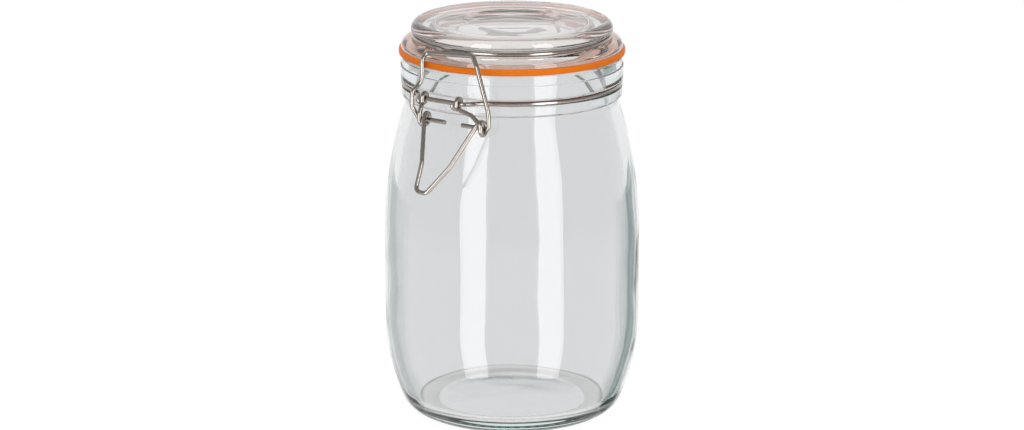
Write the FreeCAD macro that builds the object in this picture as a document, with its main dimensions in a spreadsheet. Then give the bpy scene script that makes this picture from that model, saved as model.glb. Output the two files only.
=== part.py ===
import FreeCAD, Part
import math
import os
import Sketcher
from FreeCAD import Vector

# A clip-top glass jar: jar, lid and seal turned about Z, and four bent wires that close it.
# The jar stands on z = 0 with its axis on Z. The clasp is in front, at -Y, and the hinge behind.

# Driving sizes in millimetres and degrees
sizes = {
    "wire_diameter": 2.0,
    "seat_clear": 0.2,
    "run_clear": 0.3,
    "mouth_radius": 41.5,
    "neck_wall": 5.5,
    "shoulder_width": 9.6,
    "side_foot": 44.0,
    "side_height": 36.0,
    "shoulder_height": 61.5,
    "lower_curve": 95.0,
    "corner_round": 11.0,
    "bearing_width": 5.6,
    "push_up": 0.6,
    "side_wall": 4.8,
    "floor_height": 6.2,
    "floor_round": 8.0,
    "root_height": 2.0,
    "bead_round": 1.7,
    "bead_height": 5.1,
    "neck_groove_depth": 2.0,
    "band_stand": 0.4,
    "band_height": 6.7,
    "rim_step": 0.6,
    "rim_height": 4.5,
    "rim_round": 1.5,
    "seal_thickness": 3.0,
    "seal_overhang": 1.3,
    "flange_inset": 0.9,
    "flange_lip": 0.4,
    "flange_round": 3.65,
    "disc_inset": 4.4,
    "lid_groove_depth": 2.4,
    "disc_under_round": 1.45,
    "disc_top_round": 4.1,
    "well_radius": 19.0,
    "well_depth": 0.9,
    "well_slope": 2.5,
    "lid_crown": 5.5,
    "skirt_clear": 1.2,
    "skirt_wall": 5.3,
    "skirt_depth": 5.5,
    "skirt_round": 1.5,
    "small_bend": 1.6,
    "soft_bend": 3.0,
    "wide_bend": 12.0,
    "hinge_half": 8.0,
    "hinge_sink": 0.3,
    "hinge_rise": 1.8,
    "hinge_leg_gap": 4.5,
    "hook_half": 9.2,
    "hook_sink": 0.8,
    "pivot_margin": 2.8,
    "pivot_merge_angle": 25.0,
    "eye_shift": 9.7,
    "eye_half": 15.4,
    "eye_offset": 3.4,
    "eye_drop": 8.1,
    "eye_clear": 0.7,
    "lever_lean": 30.0,
    "kink_along": 20.0,
    "kink_shift": 9.3,
    "kink_half": 7.4,
    "tip_along": 32.8,
    "tip_shift": 6.2,
    "tip_half": 2.9,
    "clasp_bar_left": 10.2,
    "clasp_bar_right": 15.0,
    "clasp_lean": 55.0,
    "clasp_clear": 0.5,
    "clasp_rise": 1.8,
    "clasp_stub": 6.5,
    "lap_left": 10.0,
    "lap_right": 8.6,
}

doc = FreeCAD.newDocument("canister")
sheet = doc.addObject("Spreadsheet::Sheet", "Sizes")
for row, (alias, number) in enumerate(sizes.items(), start=1):
    sheet.set("A%d" % row, alias)
    sheet.set("B%d" % row, str(number))
    sheet.setAlias("B%d" % row, alias)
doc.recompute()


def cell(alias):
    return "Sizes." + alias


def value(expression):
    found = sheet.evalExpression(expression)
    return float(getattr(found, "Value", found))


def size(alias):
    return float(sheet.get(alias))


# Turned pieces: a profile of corners (radius, height, arc to the next corner) in a sketch
def arc_edge(start, end, radius, turn):
    chord = end - start
    half = chord.Length / 2
    left = Vector(-chord.y, chord.x, 0).normalize()
    centre = (start + end) / 2 + left * (turn * math.sqrt(max(radius ** 2 - half ** 2, 0)))
    circle = Part.Circle(centre, Vector(0, 0, 1), radius)
    first, last = (start, end) if turn > 0 else (end, start)
    angles = [math.atan2(p.y - centre.y, p.x - centre.x) for p in (first, last)]
    return Part.ArcOfCircle(circle, angles[0], angles[1])


def bind(sketch, kind, geometry, point, expression):
    index = sketch.addConstraint(Sketcher.Constraint(kind, -1, 1, geometry, point, value(expression)))
    sketch.setExpression("Constraints[%d]" % index, expression)


def draw_profile(sketch, corners):
    points = [Vector(value(r), value(z), 0) for r, z, _ in corners]
    ends = []
    for i, (_, _, arc) in enumerate(corners):
        start, end = points[i], points[(i + 1) % len(points)]
        if arc is None:
            sketch.addGeometry(Part.LineSegment(start, end))
            ends.append((1, 2))
            continue
        turn = 1 if arc[0] == "left" else -1
        sketch.addGeometry(arc_edge(start, end, value(arc[1]), turn))
        ends.append((1, 2) if turn > 0 else (2, 1))
    for i, (r, z, arc) in enumerate(corners):
        following = (i + 1) % len(corners)
        sketch.addConstraint(
            Sketcher.Constraint("Coincident", i, ends[i][1], following, ends[following][0]))
        if r == "0":
            sketch.addConstraint(Sketcher.Constraint("PointOnObject", i, ends[i][0], -2))
        else:
            bind(sketch, "DistanceX", i, ends[i][0], r)
        if z == "0":
            sketch.addConstraint(Sketcher.Constraint("PointOnObject", i, ends[i][0], -1))
        else:
            bind(sketch, "DistanceY", i, ends[i][0], z)
        if arc is not None:
            index = sketch.addConstraint(Sketcher.Constraint("Radius", i, value(arc[1])))
            sketch.setExpression("Constraints[%d]" % index, arc[1])


def turned(label, corners):
    body = doc.addObject("PartDesign::Body", label)
    sketch = body.newObject("Sketcher::SketchObject", label + "_profile")
    plane = [f for f in body.Origin.OriginFeatures if f.Role == "XZ_Plane"][0]
    sketch.AttachmentSupport = (plane, [""])
    sketch.MapMode = "FlatFace"
    doc.recompute()
    draw_profile(sketch, corners)
    doc.recompute()
    revolution = body.newObject("PartDesign::Revolution", label + "_turn")
    revolution.Profile = sketch
    revolution.ReferenceAxis = (sketch, ["V_Axis"])
    revolution.Angle = 360
    doc.recompute()
    return body


def plus(*terms):
    return "(" + " + ".join(terms) + ")"


def minus(first, second):
    return "(%s - %s)" % (first, second)


# Radii and levels that follow from the driving sizes, from the mouth out and from the foot up
half_wire = "(%s / 2)" % cell("wire_diameter")
wire_room = plus(half_wire, cell("seat_clear"))
root_radius = plus(cell("mouth_radius"), cell("neck_wall"))
body_radius = plus(root_radius, cell("shoulder_width"))
bead_radius = plus(root_radius, cell("bead_round"))
neck_groove_radius = minus(bead_radius, cell("neck_groove_depth"))
band_radius = plus(bead_radius, cell("band_stand"))
rim_radius = minus(band_radius, cell("rim_step"))
seal_radius = plus(rim_radius, cell("seal_overhang"))
flange_radius = minus(seal_radius, cell("flange_inset"))
flange_flat = minus(flange_radius, cell("flange_round"))
disc_radius = minus(flange_radius, cell("disc_inset"))
lid_groove_radius = minus(disc_radius, cell("lid_groove_depth"))
skirt_radius = minus(cell("mouth_radius"), cell("skirt_clear"))
side_top = plus(cell("side_foot"), cell("side_height"))
shoulder_top = plus(side_top, cell("shoulder_height"))
bead_low = plus(shoulder_top, cell("root_height"))
neck_groove_low = plus(bead_low, cell("bead_height"))
neck_wire_level = plus(neck_groove_low, wire_room)
neck_groove_top = plus(neck_wire_level, wire_room)
band_top = plus(neck_groove_top, cell("band_height"))
rim_top = plus(band_top, cell("rim_height"))
flange_low = plus(rim_top, cell("seal_thickness"))
flange_edge = plus(flange_low, cell("flange_lip"))
flange_top = plus(flange_edge, cell("flange_round"))
lid_wire_level = plus(flange_top, wire_room)
disc_low = plus(lid_wire_level, wire_room)
disc_middle = plus(disc_low, cell("disc_under_round"))
lid_top = plus(disc_middle, cell("disc_top_round"))


def lower_corner(curve, floor, round_size):
    # Where a round corner between a floor and the lower curve of the side starts and ends
    centre = minus(body_radius, cell("lower_curve"))
    swing = minus(curve, round_size)
    drop = minus(minus(cell("side_foot"), floor), round_size)
    across = "sqrt(%s ^ 2 - %s ^ 2)" % (swing, drop)
    ratio = "%s / %s" % (curve, swing)
    join_radius = plus(centre, "%s * %s" % (across, ratio))
    join_level = minus(cell("side_foot"), "%s * %s" % (drop, ratio))
    return plus(centre, across), join_radius, join_level


def jar_corners():
    bearing_outer, join_radius, join_level = lower_corner(
        cell("lower_curve"), "0", cell("corner_round"))
    bearing_inner = minus(bearing_outer, cell("bearing_width"))
    inner_lower = minus(cell("lower_curve"), cell("side_wall"))
    floor_edge, inner_join, inner_join_level = lower_corner(
        inner_lower, cell("floor_height"), cell("floor_round"))
    push_up = cell("push_up")
    push_curve = "((%s ^ 2 + %s ^ 2) / (2 * %s))" % (bearing_inner, push_up, push_up)
    width, height = cell("shoulder_width"), cell("shoulder_height")
    shoulder_curve = "((%s ^ 2 + %s ^ 2) / (2 * %s))" % (width, height, width)
    inner_curve = minus(shoulder_curve, cell("side_wall"))
    mouth_swing = minus(cell("mouth_radius"), minus(body_radius, shoulder_curve))
    inner_rise = "sqrt(%s ^ 2 - %s ^ 2)" % (inner_curve, mouth_swing)
    inner_side = minus(body_radius, cell("side_wall"))
    return [
        ("0", push_up, ("right", push_curve)),
        (bearing_inner, "0", None),
        (bearing_outer, "0", ("left", cell("corner_round"))),
        (join_radius, join_level, ("left", cell("lower_curve"))),
        (body_radius, cell("side_foot"), None),
        (body_radius, side_top, ("left", shoulder_curve)),
        (root_radius, shoulder_top, None),
        (root_radius, bead_low, ("left", cell("bead_round"))),
        (bead_radius, plus(bead_low, cell("bead_round")), None),
        (bead_radius, neck_groove_low, None),
        (neck_groove_radius, neck_groove_low, None),
        (neck_groove_radius, neck_groove_top, None),
        (band_radius, neck_groove_top, None),
        (band_radius, band_top, None),
        (rim_radius, band_top, None),
        (rim_radius, rim_top, None),
        (plus(cell("mouth_radius"), cell("rim_round")), rim_top, ("left", cell("rim_round"))),
        (cell("mouth_radius"), minus(rim_top, cell("rim_round")), None),
        (cell("mouth_radius"), plus(side_top, inner_rise), ("right", inner_curve)),
        (inner_side, side_top, None),
        (inner_side, cell("side_foot"), ("right", inner_lower)),
        (inner_join, inner_join_level, ("right", cell("floor_round"))),
        (floor_edge, cell("floor_height"), None),
        ("0", cell("floor_height"), None),
    ]


def lid_corners():
    hollow_radius = minus(skirt_radius, cell("skirt_wall"))
    hollow_top = minus(lid_top, cell("lid_crown"))
    well_floor = minus(lid_top, cell("well_depth"))
    skirt_low = minus(flange_low, cell("skirt_depth"))
    skirt_round = cell("skirt_round")
    under_round = cell("disc_under_round")
    return [
        ("0", hollow_top, None),
        (hollow_radius, hollow_top, None),
        (hollow_radius, skirt_low, None),
        (minus(skirt_radius, skirt_round), skirt_low, ("left", skirt_round)),
        (skirt_radius, plus(skirt_low, skirt_round), None),
        (skirt_radius, flange_low, None),
        (flange_radius, flange_low, None),
        (flange_radius, flange_edge, ("left", cell("flange_round"))),
        (flange_flat, flange_top, None),
        (lid_groove_radius, flange_top, None),
        (lid_groove_radius, disc_low, None),
        (minus(disc_radius, under_round), disc_low, ("left", under_round)),
        (disc_radius, disc_middle, ("left", cell("disc_top_round"))),
        (minus(disc_radius, cell("disc_top_round")), lid_top, None),
        (plus(cell("well_radius"), cell("well_slope")), lid_top, None),
        (cell("well_radius"), well_floor, None),
        ("0", well_floor, None),
    ]


def seal_corners():
    inner = plus(skirt_radius, cell("run_clear"))
    return [
        (inner, rim_top, None),
        (seal_radius, rim_top, None),
        (seal_radius, flange_low, None),
        (inner, flange_low, None),
    ]


# Bent wires: straight runs joined by tangent arcs, and a round section swept along them
bend_share = 0.495
shortest_run = 1e-4
turn_step = math.radians(50)


def bend_edges(points, radii):
    edges = []
    here = points[0]
    for i in range(1, len(points) - 1):
        back = (points[i - 1] - points[i]).normalize()
        ahead = (points[i + 1] - points[i]).normalize()
        half_turn = (math.pi - back.getAngle(ahead)) / 2
        shorter_run = min((points[i - 1] - points[i]).Length, (points[i + 1] - points[i]).Length)
        reach = min(radii[i - 1] * math.tan(half_turn), bend_share * shorter_run)
        bisector = (back + ahead).normalize()
        inside = reach / math.tan(half_turn) * (1 / math.cos(half_turn) - 1)
        start = points[i] + back * reach
        middle = points[i] + bisector * inside
        end = points[i] + ahead * reach
        if (start - here).Length > shortest_run:
            edges.append(Part.LineSegment(here, start).toShape())
        edges.append(Part.Arc(start, middle, end).toShape())
        here = end
    edges.append(Part.LineSegment(here, points[-1]).toShape())
    return edges


def around(radius, level, angle):
    return Vector(radius * math.sin(angle), -radius * math.cos(angle), level)


def ring_edge(radius, level, first, last):
    angles = (first, (first + last) / 2, last)
    return Part.Arc(*[around(radius, level, angle) for angle in angles]).toShape()


def mirrored(points):
    return [Vector(-p.x, p.y, p.z) for p in reversed(points)]


def turn_corners(reach, level, radius, first, last, x_first, x_last):
    # Corners of the polygon round a turn about X; outward from the jar's front is -Y
    count = max(2, round(abs(last - first) / turn_step))
    step = (last - first) / count
    corners = []
    for i in range(count):
        angle = first + (i + 0.5) * step
        stand = radius / math.cos(step / 2)
        x = x_first + (x_last - x_first) * (i + 0.5) / count
        corners.append(Vector(x, -reach - stand * math.cos(angle), level + stand * math.sin(angle)))
    return corners


def wire_piece(label, edges):
    spine = doc.addObject("Part::Feature", label + "_path")
    spine.Shape = Part.Wire(edges)
    section = doc.addObject("Part::Circle", label + "_section")
    section.setExpression("Radius", half_wire)
    start = edges[0].valueAt(edges[0].FirstParameter)
    along = edges[0].tangentAt(edges[0].FirstParameter)
    section.Placement = FreeCAD.Placement(start, FreeCAD.Rotation(Vector(0, 0, 1), along))
    sweep = doc.addObject("Part::Sweep", label)
    sweep.Sections = [section]
    sweep.Spine = (spine, ["Edge%d" % (i + 1) for i in range(len(edges))])
    sweep.Solid = True
    sweep.Frenet = False
    doc.recompute()
    return sweep


# Sizes that the wires share
wire = size("wire_diameter")
clear = size("run_clear")
small_bend = size("small_bend")
soft_bend = size("soft_bend")
pitch = wire + clear
neck_level = value(neck_wire_level)
neck_wire_radius = value(neck_groove_radius) + value(wire_room)
lid_wire_radius = value(lid_groove_radius) + value(wire_room)
loop_radius = wire + clear
loop_outer = loop_radius + wire / 2
hinge_reach = value(seal_radius) + loop_outer - size("hinge_sink")
hinge_level = value(rim_top) + size("hinge_rise")
pivot_reach = value(band_radius) + loop_outer - size("hook_sink")
eye_reach = pivot_reach + size("eye_offset")
eye_level = neck_level - size("eye_drop")
eye_radius = wire + size("eye_clear")
lever_lean = math.radians(size("lever_lean"))


def neck_ring_edges():
    foot = Vector(size("hinge_half"), hinge_reach - loop_radius, neck_level)
    foot_span = math.hypot(foot.x, foot.y)
    leave = math.pi - math.atan2(foot.x, foot.y) - math.acos(neck_wire_radius / foot_span)
    eye_inner = size("hinge_half") - pitch
    eye = turn_corners(-hinge_reach, hinge_level, loop_radius, math.radians(270), 0,
                       eye_inner, size("hinge_half"))
    bridge_reach = hinge_reach - small_bend
    bridge_level = hinge_level - loop_radius
    rear = [Vector(clear / 2, bridge_reach, bridge_level), Vector(eye_inner, bridge_reach, bridge_level)]
    rear += eye + [foot, around(neck_wire_radius, neck_level, leave)]
    rear_bends = [small_bend] + [loop_radius] * len(eye) + [soft_bend]
    merge = math.radians(size("pivot_merge_angle"))
    merge_point = around(neck_wire_radius, neck_level, merge)
    tangent = Vector(math.cos(merge), math.sin(merge), 0)
    bar_end = Vector(size("hook_half") + size("pivot_margin"), -pivot_reach, neck_level)
    front = [merge_point, merge_point - tangent * wire, bar_end]
    front += mirrored(front)
    edges = bend_edges(rear, rear_bends)
    edges.append(ring_edge(neck_wire_radius, neck_level, leave, merge))
    edges += bend_edges(front, [soft_bend] * (len(front) - 2))
    edges.append(ring_edge(neck_wire_radius, neck_level, -merge, -leave))
    edges += bend_edges(mirrored(rear), rear_bends[::-1])
    return edges


def lid_ring_edges():
    level = value(lid_wire_level)
    leg_half = size("hinge_half") + size("hinge_leg_gap")
    lead = 2 * wire
    span = math.hypot(lid_wire_radius, lead)
    leave = math.pi - math.asin(leg_half / span) - math.atan2(lead, lid_wire_radius)
    tangent = Vector(math.cos(leave), math.sin(leave), 0)
    side = around(lid_wire_radius, level, leave)
    rear = [
        side,
        side + tangent * lead,
        Vector(leg_half, hinge_reach, level),
        Vector(leg_half, hinge_reach, hinge_level),
    ]
    rear_bends = [soft_bend, soft_bend, small_bend]
    lap_radius = lid_wire_radius + pitch
    lap_start = -math.asin(size("lap_left") / lid_wire_radius)
    lap_stand = lap_start / 4
    lap_end = math.asin(size("lap_right") / lap_radius)
    lap_tangent = Vector(math.cos(lap_start), math.sin(lap_start), 0)
    lap_point = around(lid_wire_radius, level, lap_start)
    lap = [lap_point, lap_point + lap_tangent * wire]
    lap += [around(lap_radius, level, angle) for angle in (lap_stand, lap_end / 2, lap_end)]
    lap_bends = [soft_bend, soft_bend, lap_radius]
    edges = [ring_edge(lid_wire_radius, level, 0, leave)]
    edges += bend_edges(rear + mirrored(rear), rear_bends + rear_bends[::-1])
    edges.append(ring_edge(lid_wire_radius, level, -leave, lap_start))
    edges += bend_edges(lap, lap_bends)
    return edges


def lever_point(along, x):
    # A point on the slanted face of the lever, measured down from the eyes
    reach = eye_reach + along * math.sin(lever_lean) + eye_radius * math.cos(lever_lean)
    level = eye_level - along * math.cos(lever_lean) + eye_radius * math.sin(lever_lean)
    return Vector(x, -reach, level)


def lever_side(side):
    # From the free end of the hook to the tip, on the left (-1) or the right (1)
    hook_first = side * size("hook_half") - pitch / 2
    hook_last = hook_first + pitch
    hook = turn_corners(pivot_reach, neck_level, loop_radius, math.tau, 0, hook_first, hook_last)
    free_end = Vector(hook_first, -pivot_reach - loop_radius, neck_level)
    eye_middle = size("eye_shift") + side * size("eye_half")
    eye_first = eye_middle + side * pitch / 2
    eye_last = eye_middle - side * pitch / 2
    eye = turn_corners(eye_reach, eye_level, eye_radius, math.tau, lever_lean, eye_first, eye_last)
    leave = Vector(hook_last, -pivot_reach - loop_radius, neck_level - small_bend)
    enter = Vector(eye_first, -eye_reach - eye_radius, eye_level + wire)
    across_share, out_share, fall_share = 0.6, 0.5, 0.3
    across = leave + Vector((enter.x - leave.x) * across_share, (enter.y - leave.y) * out_share,
                            (enter.z - leave.z) * fall_share)
    kink = lever_point(size("kink_along"), size("kink_shift") + side * size("kink_half"))
    tip = lever_point(size("tip_along"), size("tip_shift") + side * size("tip_half"))
    points = [free_end] + hook + [leave, across, enter] + eye + [kink, tip]
    bends = [loop_radius] * len(hook) + [small_bend, soft_bend, soft_bend]
    bends += [eye_radius] * len(eye) + [size("wide_bend"), size("tip_half")]
    return points, bends


def lever_edges():
    left, left_bends = lever_side(-1)
    right, right_bends = lever_side(1)
    return bend_edges(left + right[::-1], left_bends + right_bends[::-1])


def clasp_edges():
    lean = math.radians(size("clasp_lean"))
    hold = size("flange_round") + wire / 2 + size("clasp_clear")
    bar_reach = value(flange_flat) + hold * math.cos(lean)
    bar_level = value(flange_edge) + hold * math.sin(lean)
    left_end = -size("clasp_bar_left")
    right_end = size("clasp_bar_right")
    slope = size("clasp_rise") / (right_end - left_end)
    bar_left = Vector(left_end, -bar_reach, bar_level + slope * left_end)
    bar_right = Vector(right_end, -bar_reach, bar_level + slope * right_end)
    # The legs pass the seal's edge, then the left one bows out round the lever's hook
    seal_pass = value(seal_radius) + wire / 2 + clear
    knee_left = Vector(left_end, -seal_pass, value(flange_edge) + wire / 2)
    knee_right = Vector(right_end + 2 * wire, -seal_pass, value(flange_edge) + wire)
    hook_pass = pivot_reach + loop_outer + clear + wire
    bow_below, bow_above = 1.5 * wire, 1.7 * wire
    bow_side = -size("hook_half") - wire
    bow_low = Vector(bow_side, -hook_pass, neck_level - bow_below)
    bow_high = Vector(bow_side, -hook_pass, neck_level + bow_above)
    thigh = Vector(left_end, -seal_pass, bow_high.z + 2 * wire)
    eye_side = pitch / 2 + wire + clear
    foot_left = Vector(size("eye_shift") - size("eye_half") - eye_side, -eye_reach, eye_level)
    foot_right = Vector(size("eye_shift") + size("eye_half") + eye_side, -eye_reach, eye_level)
    ankle = foot_right + Vector(0, 0, eye_radius + 2 * wire)
    stub = Vector(size("clasp_stub") + pitch + wire + eye_side, 0, 0)
    points = [foot_left + stub, foot_left, bow_low, bow_high, thigh, knee_left, bar_left,
              bar_right, knee_right, ankle, foot_right, foot_right - stub]
    bends = [small_bend, soft_bend, soft_bend, 2 * soft_bend, soft_bend, small_bend,
             small_bend, soft_bend, size("wide_bend"), small_bend]
    return bend_edges(points, bends)


pieces = [
    turned("glass_jar", jar_corners()),
    turned("glass_lid", lid_corners()),
    turned("rubber_seal", seal_corners()),
    wire_piece("neck_ring", neck_ring_edges()),
    wire_piece("lid_ring", lid_ring_edges()),
    wire_piece("lever", lever_edges()),
    wire_piece("clasp", clasp_edges()),
]
doc.recompute()

for item in doc.Objects:
    if "Invalid" in item.State or "Error" in item.State:
        raise RuntimeError("%s did not build" % item.Label)
for piece in pieces:
    if piece.Shape.isNull() or not piece.Shape.isValid():
        raise RuntimeError("%s has no valid shape" % piece.Label)

os.makedirs("parts", exist_ok=True)
for piece in pieces:
    piece.Shape.exportStep("parts/%s.step" % piece.Label)
    print(piece.Label, len(piece.Shape.Solids), round(piece.Shape.Volume, 1), piece.Shape.BoundBox)
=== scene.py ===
import math

import bpy
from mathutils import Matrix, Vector


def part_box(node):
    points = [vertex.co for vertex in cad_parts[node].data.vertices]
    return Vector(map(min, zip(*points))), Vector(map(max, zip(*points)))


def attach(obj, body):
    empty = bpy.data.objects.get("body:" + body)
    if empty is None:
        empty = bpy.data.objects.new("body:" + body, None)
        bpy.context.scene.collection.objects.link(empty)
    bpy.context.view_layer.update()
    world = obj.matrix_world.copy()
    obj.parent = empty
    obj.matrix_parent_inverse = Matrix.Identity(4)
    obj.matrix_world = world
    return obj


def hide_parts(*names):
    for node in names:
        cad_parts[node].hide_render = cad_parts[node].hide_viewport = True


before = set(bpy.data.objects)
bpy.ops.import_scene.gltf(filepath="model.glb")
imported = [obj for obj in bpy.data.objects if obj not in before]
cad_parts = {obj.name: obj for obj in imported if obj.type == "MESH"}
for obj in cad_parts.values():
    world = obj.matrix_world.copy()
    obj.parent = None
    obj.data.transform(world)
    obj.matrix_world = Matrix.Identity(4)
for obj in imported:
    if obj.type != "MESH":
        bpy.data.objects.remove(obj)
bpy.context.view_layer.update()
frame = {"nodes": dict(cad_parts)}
mm = 0.001
print("frame loaded:", ", ".join(frame["nodes"]))


# Lathe tools: an outline of radius and height in millimetres, spun about Z

lathe = {"stepDegrees": 9, "largestReach": 0.48, "mergeDistance": 0.002 * mm}


def arcPoints(centre, radius, fromDegrees, toDegrees, count):
    points = []
    for step in range(count + 1):
        turn = math.radians(fromDegrees + (toDegrees - fromDegrees) * step / count)
        points.append((centre[0] + radius * math.cos(turn), centre[1] + radius * math.sin(turn), 0))
    return points


def softenCorners(corners):  # each corner is a radius, a height and the size of its fillet
    points = []
    for index, (radius, height, fillet) in enumerate(corners):
        corner = Vector((radius, height))
        if fillet == 0 or index in (0, len(corners) - 1):
            points.append(corner)
            continue
        back = Vector(corners[index - 1][:2]) - corner
        ahead = Vector(corners[index + 1][:2]) - corner
        turn = math.pi - back.angle(ahead)
        reach = min(fillet * math.tan(turn / 2), lathe["largestReach"] * min(back.length, ahead.length))
        start = corner + back.normalized() * reach
        end = corner + ahead.normalized() * reach
        count = max(2, round(math.degrees(turn) / lathe["stepDegrees"]))
        for step in range(count + 1):
            share = step / count
            along = start.lerp(corner, share)
            points.append(along.lerp(corner.lerp(end, share), share))
    return points


def deselectAll():
    if bpy.context.mode != "OBJECT":
        bpy.ops.object.mode_set(mode="OBJECT")
    bpy.ops.object.select_all(action="DESELECT")


def spinOutline(name, outline, segments):
    deselectAll()
    bpy.ops.mesh.primitive_plane_add(size=mm)
    piece = bpy.context.object
    piece.name = name
    bpy.ops.object.mode_set(mode="EDIT")
    bpy.ops.mesh.select_mode(type="VERT")
    bpy.ops.mesh.select_all(action="SELECT")
    bpy.ops.mesh.merge(type="CENTER")
    first = outline[0]
    bpy.ops.transform.translate(value=(first[0] * mm, 0, first[1] * mm))
    for here, following in zip(outline, outline[1:]):
        step = ((following[0] - here[0]) * mm, 0, (following[1] - here[1]) * mm)
        bpy.ops.mesh.extrude_region_move(TRANSFORM_OT_translate={"value": step})
    bpy.ops.mesh.select_all(action="SELECT")
    bpy.ops.mesh.spin(steps=segments, angle=math.tau, center=(0, 0, 0), axis=(0, 0, 1))
    bpy.ops.mesh.select_all(action="SELECT")
    bpy.ops.mesh.remove_doubles(threshold=lathe["mergeDistance"])
    bpy.ops.mesh.normals_make_consistent(inside=False)
    bpy.ops.object.mode_set(mode="OBJECT")
    bpy.ops.object.shade_smooth()
    return piece


# Node tools

def newMaterial(name):
    material = bpy.data.materials.new(name)
    material.use_nodes = True
    return material, material.node_tree


def addNode(tree, kind, **settings):  # a setting names an input or a property of the node
    node = tree.nodes.new(kind)
    for key, setting in settings.items():
        if key in node.inputs:
            node.inputs[key].default_value = setting
        else:
            setattr(node, key, setting)
    return node


def feed(tree, socket, source):  # an output is linked, a constant is set on the socket
    if isinstance(source, bpy.types.NodeSocket):
        tree.links.new(source, socket)
    else:
        socket.default_value = source


def addMath(tree, operation, *sources):
    node = addNode(tree, "ShaderNodeMath", operation=operation)
    for socket, source in zip(node.inputs, sources):
        feed(tree, socket, source)
    return node.outputs["Value"]


def addRamp(tree, source, fromLow, fromHigh, toLow=0.0, toHigh=1.0):
    node = addNode(tree, "ShaderNodeMapRange")
    feed(tree, node.inputs["Value"], source)
    feed(tree, node.inputs["From Min"], fromLow)
    feed(tree, node.inputs["From Max"], fromHigh)
    feed(tree, node.inputs["To Min"], toLow)
    feed(tree, node.inputs["To Max"], toHigh)
    return node.outputs["Result"]


def mixColours(tree, share, first, second):
    node = addNode(tree, "ShaderNodeMix", data_type="RGBA")
    feed(tree, node.inputs["Factor"], share)
    feed(tree, node.inputs["A"], first)
    feed(tree, node.inputs["B"], second)
    return node.outputs["Result"]


def mixShaders(tree, share, first, second):
    node = addNode(tree, "ShaderNodeMixShader")
    for socket, source in zip(node.inputs, (share, first, second)):
        feed(tree, socket, source)
    return node.outputs["Shader"]


def addGrain(tree, shader, place, look):  # a noise that dents the surface a little
    grain = addNode(tree, "ShaderNodeTexNoise", Scale=look["grainScale"], Detail=look["grainDetail"])
    bump = addNode(tree, "ShaderNodeBump", Strength=look["bumpStrength"], Distance=look["bumpDepth"])
    feed(tree, grain.inputs["Vector"], place)
    feed(tree, bump.inputs["Height"], grain.outputs["Fac"])
    feed(tree, shader.inputs["Normal"], bump.outputs["Normal"])
    return grain.outputs["Fac"]


# Glass, with a green edge that comes from its thickness

pressedGlass = {
    "tint": (0.826, 0.826, 0.832, 1), "ior": 1.51, "roughness": 0.0,
    "edgeGreen": (0.45, 0.80, 0.74, 1), "edgeDensity": 5.0,
    "grainScale": 34.0, "grainDetail": 1.0, "bumpStrength": 0.38, "bumpDepth": mm,
}
lidGlassLook = dict(pressedGlass, tint=(0.815, 0.775, 0.76, 1), edgeDensity=1.0, bumpStrength=0.4)
footRing = {
    "inner": 33.0 * mm, "top": 1.6 * mm, "fade": 0.4 * mm,
    "tint": (0.74, 0.725, 0.685, 1), "roughness": 0.3,
    # the dark uneven line is a painted reflection of dark surroundings, laid on the foot
    "line": 43.2 * mm, "lineHalf": 0.35 * mm, "lineTop": 2.4 * mm, "paintedDarkTint": (0.10, 0.095, 0.09, 1),
    "jagScale": 700.0, "jagDetail": 1.0, "jag": 1.6 * mm,
}


def addFootRing(tree, shader, place, tint):  # the ring under the jar is matt, with a dark uneven line of painted reflection
    foot = footRing
    axes = addNode(tree, "ShaderNodeSeparateXYZ")
    flat = addNode(tree, "ShaderNodeCombineXYZ")
    length = addNode(tree, "ShaderNodeVectorMath", operation="LENGTH")
    feed(tree, axes.inputs["Vector"], place)
    feed(tree, flat.inputs["X"], axes.outputs["X"])
    feed(tree, flat.inputs["Y"], axes.outputs["Y"])
    feed(tree, length.inputs[0], flat.outputs["Vector"])
    radius = length.outputs["Value"]
    height = axes.outputs["Z"]
    outside = addRamp(tree, radius, foot["inner"] - foot["fade"], foot["inner"] + foot["fade"])
    under = addRamp(tree, height, foot["top"] - foot["fade"], foot["top"] + foot["fade"], 1.0, 0.0)
    ring = addMath(tree, "MULTIPLY", outside, under)
    jag = addNode(tree, "ShaderNodeTexNoise", Scale=foot["jagScale"], Detail=foot["jagDetail"])
    feed(tree, jag.inputs["Vector"], place)
    shift = addRamp(tree, jag.outputs["Fac"], 0.0, 1.0,
                    -foot["line"] - foot["jag"] / 2, -foot["line"] + foot["jag"] / 2)
    away = addMath(tree, "ABSOLUTE", addMath(tree, "ADD", radius, shift))
    # a dark line painted near the inner edge of the stippling, standing in for a dark reflection
    onLine = addRamp(tree, away, 0.0, foot["lineHalf"], 1.0, 0.0)
    line = addMath(tree, "MULTIPLY", onLine, addMath(tree, "LESS_THAN", height, foot["lineTop"]))
    matt = mixColours(tree, ring, tint, foot["tint"])
    feed(tree, shader.inputs["Base Color"], mixColours(tree, line, matt, foot["paintedDarkTint"]))
    feed(tree, shader.inputs["Roughness"], addMath(tree, "MULTIPLY", ring, foot["roughness"]))


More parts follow.
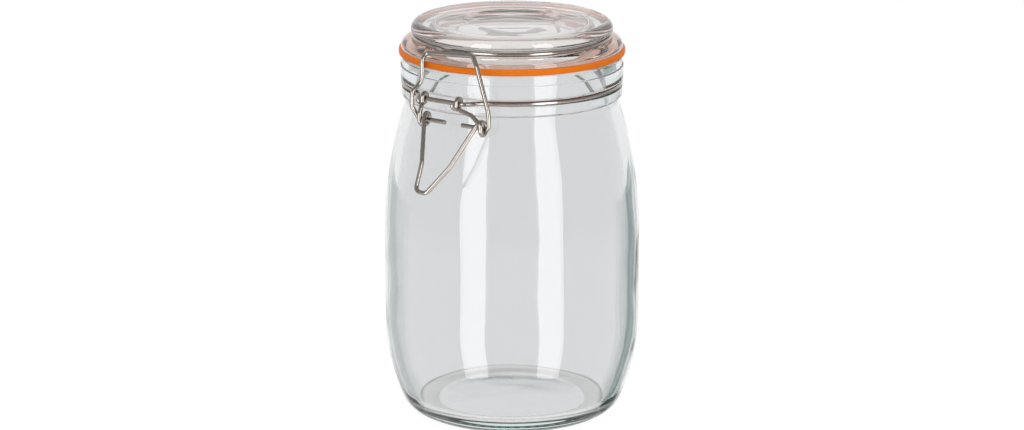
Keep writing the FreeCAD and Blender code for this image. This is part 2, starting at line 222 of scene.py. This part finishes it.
def makeGlass(name, look, withFoot):
    material, tree = newMaterial(name)
    shader = tree.nodes["Principled BSDF"]
    output = tree.nodes["Material Output"]
    shader.inputs["Base Color"].default_value = look["tint"]
    shader.inputs["Transmission Weight"].default_value = 1
    shader.inputs["Roughness"].default_value = look["roughness"]
    shader.inputs["IOR"].default_value = look["ior"]
    place = addNode(tree, "ShaderNodeTexCoord").outputs["Object"]
    if withFoot:
        addFootRing(tree, shader, place, look["tint"])
    addGrain(tree, shader, place, look)
    path = addNode(tree, "ShaderNodeLightPath")
    clear = addNode(tree, "ShaderNodeBsdfTransparent", Color=look["tint"])  # lets lamplight through
    surface = mixShaders(tree, path.outputs["Is Shadow Ray"], shader.outputs["BSDF"], clear.outputs["BSDF"])
    feed(tree, output.inputs["Surface"], surface)
    green = addNode(tree, "ShaderNodeVolumeAbsorption", Color=look["edgeGreen"], Density=look["edgeDensity"])
    feed(tree, output.inputs["Volume"], green.outputs["Volume"])
    return material


# Rubber, with a pale painted reflection where it is pressed onto the lid

sealRubber = {
    "orange": (0.96, 0.225, 0.012, 1), "deepOrange": (0.90, 0.195, 0.009, 1),
    "roughness": 0.5, "shine": 0.18,
    # a pale painted reflection for the top of the seal, where it presses on the lid
    "paintedReflection": (0.9, 0.67, 0.585, 1), "paintedReflectionFrom": 165.2 * mm, "paintedReflectionTo": 165.22 * mm,
    "grainScale": 420.0, "grainDetail": 4.0, "bumpStrength": 0.15, "bumpDepth": 0.1 * mm,
}


def makeRubber():
    look = sealRubber
    material, tree = newMaterial("sealRubber")
    shader = tree.nodes["Principled BSDF"]
    place = addNode(tree, "ShaderNodeTexCoord").outputs["Object"]
    mottle = addGrain(tree, shader, place, look)
    orange = mixColours(tree, mottle, look["deepOrange"], look["orange"])
    axes = addNode(tree, "ShaderNodeSeparateXYZ")
    feed(tree, axes.inputs["Vector"], place)
    # the pale colour on the seal's pressed top is a painted reflection mixed into the orange
    pressed = addRamp(tree, axes.outputs["Z"], look["paintedReflectionFrom"], look["paintedReflectionTo"])
    feed(tree, shader.inputs["Base Color"], mixColours(tree, pressed, orange, look["paintedReflection"]))
    shader.inputs["Roughness"].default_value = look["roughness"]
    shader.inputs["Specular IOR Level"].default_value = look["shine"]
    return material


# Steel wire, drawn and a little dull

steelWire = {
    "bright": (0.50, 0.46, 0.42, 1), "dull": (0.25, 0.222, 0.195, 1), "roughness": 0.16,
    "grainScale": 900.0, "grainDetail": 5.0, "bumpStrength": 0.12, "bumpDepth": 0.03 * mm,
}


def makeSteel():
    look = steelWire
    material, tree = newMaterial("steelWire")
    shader = tree.nodes["Principled BSDF"]
    place = addNode(tree, "ShaderNodeTexCoord").outputs["Object"]
    grain = addGrain(tree, shader, place, look)
    feed(tree, shader.inputs["Base Color"], mixColours(tree, grain, look["dull"], look["bright"]))
    shader.inputs["Metallic"].default_value = 1
    shader.inputs["Roughness"].default_value = look["roughness"]
    return material


jarGlass = makeGlass("jarGlass", pressedGlass, withFoot=True)
lidGlass = makeGlass("lidGlass", lidGlassLook, withFoot=False)
rubber = makeRubber()
steel = makeSteel()
print("materials made")


def finishPiece(piece, material, body, node):
    piece.data.materials.clear()
    piece.data.materials.append(material)
    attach(piece, body)
    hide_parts(node)


# The jar, in millimetres: outside from the foot up, then inside from the mouth down

jar = {
    "mouth": 41.5, "root": 47.0, "body": 56.6, "bead": 48.7, "groove": 46.7, "band": 49.1, "rim": 48.5,
    "sideFoot": 44.0, "sideTop": 80.0, "shoulderTop": 141.5, "beadLow": 143.5,
    "grooveLow": 148.6, "grooveTop": 151.0, "bandTop": 157.7, "rimTop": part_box("glass_jar")[1][2] / mm,
    "lowerCurve": 95.0, "cornerRound": 11.0, "bearing": 5.6, "pushUp": 0.6,
    "wall": 4.8, "floor": 6.2, "floorRound": 8.0,
    "beadFillet": 0.8, "grooveFillet": 0.5, "bandLowFillet": 1.2, "bandTopFillet": 0.8,
    "ledgeFillet": 0.4, "rimFillet": 1.3, "mouthFillet": 1.5,
    "pushSteps": 10, "cornerSteps": 12, "lowerSteps": 16, "shoulderSteps": 24, "beadSteps": 8,
    "segments": 384,
    "stippleTop": 1.5, "stippleInner": 42.4, "stippleDepth": 0.5, "sharpFrom": 35.0,
}


def lowerCorner(curve, floor, roundSize):  # middle of the foot's round, and where it meets the lower curve
    drop = jar["sideFoot"] - floor - roundSize
    across = math.sqrt((curve - roundSize) ** 2 - drop ** 2)
    middle = (jar["body"] - jar["lowerCurve"] + across, floor + roundSize)
    return middle, -math.degrees(math.atan2(drop, across))


def jarOutline():
    lowerCentre = (jar["body"] - jar["lowerCurve"], jar["sideFoot"])
    innerLower = jar["lowerCurve"] - jar["wall"]
    foot, join = lowerCorner(jar["lowerCurve"], 0, jar["cornerRound"])
    floorEdge, innerJoin = lowerCorner(innerLower, jar["floor"], jar["floorRound"])
    bearingInner = foot[0] - jar["bearing"]
    height = jar["shoulderTop"] - jar["sideTop"]
    width = jar["body"] - jar["root"]
    shoulder = (width ** 2 + height ** 2) / (2 * width)
    shoulderCentre = (jar["body"] - shoulder, jar["sideTop"])
    rise = math.degrees(math.asin(height / shoulder))
    inner = shoulder - jar["wall"]
    innerRise = math.degrees(math.acos((jar["mouth"] - shoulderCentre[0]) / inner))
    pushCurve = (bearingInner ** 2 + jar["pushUp"] ** 2) / (2 * jar["pushUp"])
    pushTurn = math.degrees(math.asin(bearingInner / pushCurve))
    corners = arcPoints((0, jar["pushUp"] - pushCurve), pushCurve, 90, 90 - pushTurn, jar["pushSteps"])
    corners += arcPoints(foot, jar["cornerRound"], -90, join, jar["cornerSteps"])
    corners += arcPoints(lowerCentre, jar["lowerCurve"], join, 0, jar["lowerSteps"])[1:]
    corners += arcPoints(shoulderCentre, shoulder, 0, rise, jar["shoulderSteps"])
    beadRound = jar["bead"] - jar["root"]
    corners += arcPoints((jar["root"], jar["beadLow"] + beadRound), beadRound, -90, 0, jar["beadSteps"])
    corners += [
        (jar["bead"], jar["grooveLow"], jar["beadFillet"]),
        (jar["groove"], jar["grooveLow"], jar["grooveFillet"]),
        (jar["groove"], jar["grooveTop"], jar["grooveFillet"]),
        (jar["band"], jar["grooveTop"], jar["bandLowFillet"]),
        (jar["band"], jar["bandTop"], jar["bandTopFillet"]),
        (jar["rim"], jar["bandTop"], jar["ledgeFillet"]),
        (jar["rim"], jar["rimTop"], jar["rimFillet"]),
        (jar["mouth"], jar["rimTop"], jar["mouthFillet"]),
    ]
    corners += arcPoints(shoulderCentre, inner, innerRise, 0, jar["shoulderSteps"])
    corners += arcPoints(lowerCentre, innerLower, 0, innerJoin, jar["lowerSteps"])
    corners += arcPoints(floorEdge, jar["floorRound"], innerJoin, -90, jar["cornerSteps"])[1:]
    corners += [(0, jar["floor"], 0)]
    return softenCorners(corners)


def stippleFoot(piece):  # fine radial ticks pressed into the ring that the jar stands on
    pitch = math.tau / jar["segments"]
    bpy.ops.object.mode_set(mode="EDIT")
    bpy.ops.mesh.select_mode(type="FACE")
    bpy.ops.mesh.select_all(action="DESELECT")
    bpy.ops.object.mode_set(mode="OBJECT")
    for face in piece.data.polygons:
        radius = math.hypot(face.center.x, face.center.y)
        column = math.floor(math.atan2(face.center.y, face.center.x) / pitch)
        onRing = face.center.z < jar["stippleTop"] * mm and radius > jar["stippleInner"] * mm
        face.select = onRing and column % 2 == 0
    bpy.ops.object.mode_set(mode="EDIT")
    bpy.ops.mesh.extrude_region_shrink_fatten(
        TRANSFORM_OT_shrink_fatten={"value": -jar["stippleDepth"] * mm})
    bpy.ops.object.mode_set(mode="OBJECT")
    bpy.ops.object.shade_smooth_by_angle(angle=math.radians(jar["sharpFrom"]))


jarPiece = spinOutline("jarGlass", jarOutline(), jar["segments"])
stippleFoot(jarPiece)
finishPiece(jarPiece, jarGlass, "jar", "glass_jar")
print("jar spun and its foot stippled:", len(jarPiece.data.polygons), "faces")


# The lid, in millimetres: underside from the middle out, then the top back in

lid = {
    "hollow": 35.0, "hollowTop": 171.7, "skirt": 40.3, "skirtLow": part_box("glass_lid")[0][2] / mm,
    "flange": 48.9, "flangeLow": 165.2, "flangeEdge": 165.6, "flangeRound": 3.65, "groove": 42.1,
    "discLow": 171.65, "disc": 44.5, "underRound": 1.45, "discRound": 4.1,
    "top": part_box("glass_lid")[1][2] / mm, "well": 19.0, "wellSlope": 2.5, "wellDepth": 0.9,
    "hollowFillet": 3.5, "skirtFillet": 1.5, "skirtRootFillet": 0.6, "flangeFillet": 0.3,
    "grooveFillet": 0.7, "wellFillet": 1.0,
    "flangeSteps": 12, "underSteps": 8, "discSteps": 14, "segments": 256,
}


def lidOutline():
    flangeFlat = lid["flange"] - lid["flangeRound"]
    flangeTop = lid["flangeEdge"] + lid["flangeRound"]
    discMiddle = lid["discLow"] + lid["underRound"]
    underCentre = (lid["disc"] - lid["underRound"], discMiddle)
    discCentre = (lid["disc"] - lid["discRound"], discMiddle)
    corners = [
        (0, lid["hollowTop"], 0),
        (lid["hollow"], lid["hollowTop"], lid["hollowFillet"]),
        (lid["hollow"], lid["skirtLow"], lid["skirtFillet"]),
        (lid["skirt"], lid["skirtLow"], lid["skirtFillet"]),
        (lid["skirt"], lid["flangeLow"], lid["skirtRootFillet"]),
        (lid["flange"], lid["flangeLow"], lid["flangeFillet"]),
    ]
    corners += arcPoints((flangeFlat, lid["flangeEdge"]), lid["flangeRound"], 0, 90, lid["flangeSteps"])
    corners += [
        (lid["groove"], flangeTop, lid["grooveFillet"]),
        (lid["groove"], lid["discLow"], lid["grooveFillet"]),
    ]
    corners += arcPoints(underCentre, lid["underRound"], -90, 0, lid["underSteps"])
    corners += arcPoints(discCentre, lid["discRound"], 0, 90, lid["discSteps"])[1:]
    corners += [
        (lid["well"] + lid["wellSlope"], lid["top"], lid["wellFillet"]),
        (lid["well"], lid["top"] - lid["wellDepth"], lid["wellFillet"]),
        (0, lid["top"] - lid["wellDepth"], 0),
    ]
    return softenCorners(corners)


lidPiece = spinOutline("lidGlass", lidOutline(), lid["segments"])
finishPiece(lidPiece, lidGlass, "lid", "glass_lid")
print("lid spun:", len(lidPiece.data.polygons), "faces")


# The rubber ring between them, with a film of air but for the bands that press on the lid's flange

seal = {
    "inner": 40.6, "outer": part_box("rubber_seal")[1][0] / mm,
    "low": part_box("rubber_seal")[0][2] / mm, "top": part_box("rubber_seal")[1][2] / mm,
    "edgeRound": 0.9, "airGap": 0.08, "wetting": 0.04,
    "bands": 4, "bandOuter": 48.2, "bandPitch": 1.6, "bandWidth": 1.1, "segments": 192,
}


def sealOutline():
    middle = (seal["inner"] + seal["outer"]) / 2
    low = seal["low"] + seal["airGap"]
    pressed = seal["top"] + seal["wetting"]
    free = seal["top"] - seal["airGap"]
    corners = [
        (middle, low, 0),
        (seal["outer"], low, seal["edgeRound"]),
        (seal["outer"], free, seal["edgeRound"]),
    ]
    for count in range(seal["bands"]):
        outer = seal["bandOuter"] - count * seal["bandPitch"]
        inner = outer - seal["bandWidth"]
        corners += [
            (outer, free, 0),
            (outer - seal["airGap"], pressed, 0),
            (inner + seal["airGap"], pressed, 0),
            (inner, free, 0),
        ]
    corners += [
        (seal["inner"], free, seal["edgeRound"]),
        (seal["inner"], low, seal["edgeRound"]),
        (middle, low, 0),
    ]
    return softenCorners(corners)


sealPiece = spinOutline("sealRing", sealOutline(), seal["segments"])
finishPiece(sealPiece, rubber, "lid", "rubber_seal")
print("seal spun:", len(sealPiece.data.polygons), "faces")

for wireName in ("neck_ring", "lid_ring", "lever", "clasp"):
    wire = frame["nodes"][wireName]
    wire.data.materials.clear()
    wire.data.materials.append(steel)
print("wires finished")


# Camera at the photograph's viewing angle, its lens taken for a frame of 1024 x 430 pixels

view = {"azimuth": 36.6, "distance": 1.6, "height": 0.50885, "pitch": 14.73,
        "lens": 130.69, "sensor": 36, "clipStart": 0.05}


def aroundJar(angleFromCamera, distance, height):
    turn = math.radians(view["azimuth"] + angleFromCamera)
    return Vector((distance * math.sin(turn), -distance * math.cos(turn), height))


deselectAll()
bpy.ops.object.camera_add(
    location=aroundJar(0, view["distance"], view["height"]),
    rotation=(math.radians(90 - view["pitch"]), 0, math.radians(view["azimuth"])))
camera = bpy.context.object
camera.data.lens = view["lens"]
camera.data.sensor_width = view["sensor"]
camera.data.clip_start = view["clipStart"]
bpy.context.scene.camera = camera
print("camera placed")


# Two tall soft boxes beside the camera and one above

sideBox = {"angle": 34.5, "distance": 0.95, "height": 0.15, "width": 0.38, "tall": 1.5, "glow": 2.2,
           "colour": (1, 1, 1, 1), "mirrored": 4.9, "through": 2.8}
topBox = {"height": 1.1, "lean": 0.001, "width": 0.8, "tall": 0.8, "glow": 1.9}


def softBox(name, place, target, box):
    bpy.ops.object.light_add(type="AREA", location=place)
    lamp = bpy.context.object
    lamp.name = name
    lamp.rotation_euler = (target - place).to_track_quat("-Z", "Y").to_euler()
    lamp.data.shape = "RECTANGLE"
    lamp.data.size = box["width"]
    lamp.data.size_y = box["tall"]
    lamp.data.energy = box["glow"] * math.pi * box["width"] * box["tall"]
    lamp.visible_glossy = False  # cards in the place of the tall ones are what glass and steel show
    lamp.visible_transmission = False


for side in (-1, 1):
    boxPlace = aroundJar(side * sideBox["angle"], sideBox["distance"], sideBox["height"])
    softBox("sideBox", boxPlace, Vector((0, 0, sideBox["height"])), sideBox)
softBox("topBox", Vector((0, 0, topBox["height"])), Vector((0, topBox["lean"], 0)), topBox)
print("lamps placed")


# A small table top, nearly white where it is seen, also through glass, and open to mirror rays

tableTop = {"radius": 0.24, "gap": 0.3 * mm, "sides": 128, "colour": (0.8, 0.8, 0.8, 1), "roughness": 0.8,
            "white": 0.85, "glow": 1.1}


def layTable():
    bpy.ops.mesh.primitive_circle_add(vertices=tableTop["sides"], radius=tableTop["radius"],
                                      fill_type="NGON", location=(0, 0, -tableTop["gap"]))
    table = bpy.context.object
    table.name = "tableTop"
    material, tree = newMaterial("tableTop")
    shader = tree.nodes["Principled BSDF"]
    shader.inputs["Base Color"].default_value = tableTop["colour"]
    shader.inputs["Roughness"].default_value = tableTop["roughness"]
    path = addNode(tree, "ShaderNodeLightPath").outputs
    white = addNode(tree, "ShaderNodeEmission", Strength=tableTop["glow"])
    clear = addNode(tree, "ShaderNodeBsdfTransparent")
    seen = addMath(tree, "MAXIMUM", path["Is Camera Ray"], path["Is Transmission Ray"])
    share = addMath(tree, "MULTIPLY", seen, tableTop["white"])
    whitened = mixShaders(tree, share, shader.outputs["BSDF"], white.outputs["Emission"])
    surface = mixShaders(tree, path["Is Glossy Ray"], whitened, clear.outputs["BSDF"])
    feed(tree, tree.nodes["Material Output"].inputs["Surface"], surface)
    table.data.materials.append(material)


layTable()
print("table top laid")


# Cards that only glass and steel show: a grey one behind on each side, and the fronts of the tall boxes

greyCard = {"angle": 132.0, "distance": 0.8, "width": 0.6, "tall": 0.6,
            "height": -0.318,  # so low that it stays out of the lid
            "mirrored": 1.0, "through": 1.0}
rightCard = dict(greyCard, colour=(0.34, 0.41, 0.40, 1))
leftCard = dict(greyCard, colour=(0.6, 0.63, 0.63, 1))
deepestSeen = 2.5  # a ray through one wall has crossed two surfaces, a ray through the whole jar four


def standCard(name, side, look):
    deselectAll()
    place = aroundJar(side * look["angle"], look["distance"], look["height"])
    turn = (Vector((0, 0, look["height"])) - place).to_track_quat("-Z", "Y").to_euler()
    bpy.ops.mesh.primitive_plane_add(size=1, location=place, rotation=turn)
    card = bpy.context.object
    card.name = name
    card.scale = (look["width"], look["tall"], 1)
    bpy.ops.object.transform_apply(location=True, rotation=True, scale=True)
    material, tree = newMaterial(name)
    path = addNode(tree, "ShaderNodeLightPath").outputs
    glow = addNode(tree, "ShaderNodeEmission", Color=look["colour"])
    clear = addNode(tree, "ShaderNodeBsdfTransparent")
    strength = addRamp(tree, path["Is Transmission Ray"], 0.0, 1.0, look["mirrored"], look["through"])
    feed(tree, glow.inputs["Strength"], strength)
    seen = addMath(tree, "MAXIMUM", path["Is Glossy Ray"], path["Is Transmission Ray"])
    oneWall = addMath(tree, "LESS_THAN", path["Transmission Depth"], deepestSeen)
    shown = addMath(tree, "MULTIPLY", seen, oneWall)
    surface = mixShaders(tree, shown, clear.outputs["BSDF"], glow.outputs["Emission"])
    feed(tree, tree.nodes["Material Output"].inputs["Surface"], surface)
    card.data.materials.append(material)


standCard("rightCard", 1, rightCard)
standCard("leftCard", -1, leftCard)
standCard("rightBoxFront", 1, sideBox)
standCard("leftBoxFront", -1, sideBox)
print("cards placed")


# White surroundings, with a greyer ceiling and room in mirror rays and a low ambient light

surround = {
    "colour": (1, 1, 1, 1), "ambient": 0.35,
    "ceilingFrom": 0.15, "ceilingTo": 0.7, "ceilingGrey": 0.7,
    "roomFrom": -0.75, "roomTo": -0.2, "roomGrey": 0.55, "tableFrom": -0.25,
}


def lightRoom():
    look = surround
    world = bpy.data.worlds.new("studioWhite")
    bpy.context.scene.world = world
    world.use_nodes = True
    tree = world.node_tree
    background = tree.nodes["Background"]
    path = addNode(tree, "ShaderNodeLightPath").outputs
    through = addMath(tree, "MAXIMUM", path["Is Camera Ray"], path["Is Transmission Ray"])
    seen = addMath(tree, "MAXIMUM", through, path["Is Glossy Ray"])
    direction = addNode(tree, "ShaderNodeTexCoord").outputs["Generated"]
    axes = addNode(tree, "ShaderNodeSeparateXYZ")
    forward = addNode(tree, "ShaderNodeVectorMath", operation="DOT_PRODUCT")
    feed(tree, axes.inputs["Vector"], direction)
    feed(tree, forward.inputs[0], direction)
    feed(tree, forward.inputs[1], aroundJar(0, 1, 0))
    height = axes.outputs["Z"]
    ceiling = addRamp(tree, height, look["ceilingFrom"], look["ceilingTo"], 1.0, look["ceilingGrey"])
    room = addRamp(tree, forward.outputs["Value"], look["roomFrom"], look["roomTo"], 1.0, look["roomGrey"])
    table = addRamp(tree, height, look["tableFrom"], 0.0, 1.0, 0.0)
    mirrored = addMath(tree, "MAXIMUM", addMath(tree, "MULTIPLY", ceiling, room), table)
    brightest = addMath(tree, "MAXIMUM", through, mirrored)
    feed(tree, background.inputs["Strength"], addRamp(tree, seen, 0.0, 1.0, look["ambient"], brightest))
    background.inputs["Color"].default_value = look["colour"]


lightRoom()
bpy.context.scene.view_settings.view_transform = "Standard"
print("room lit")
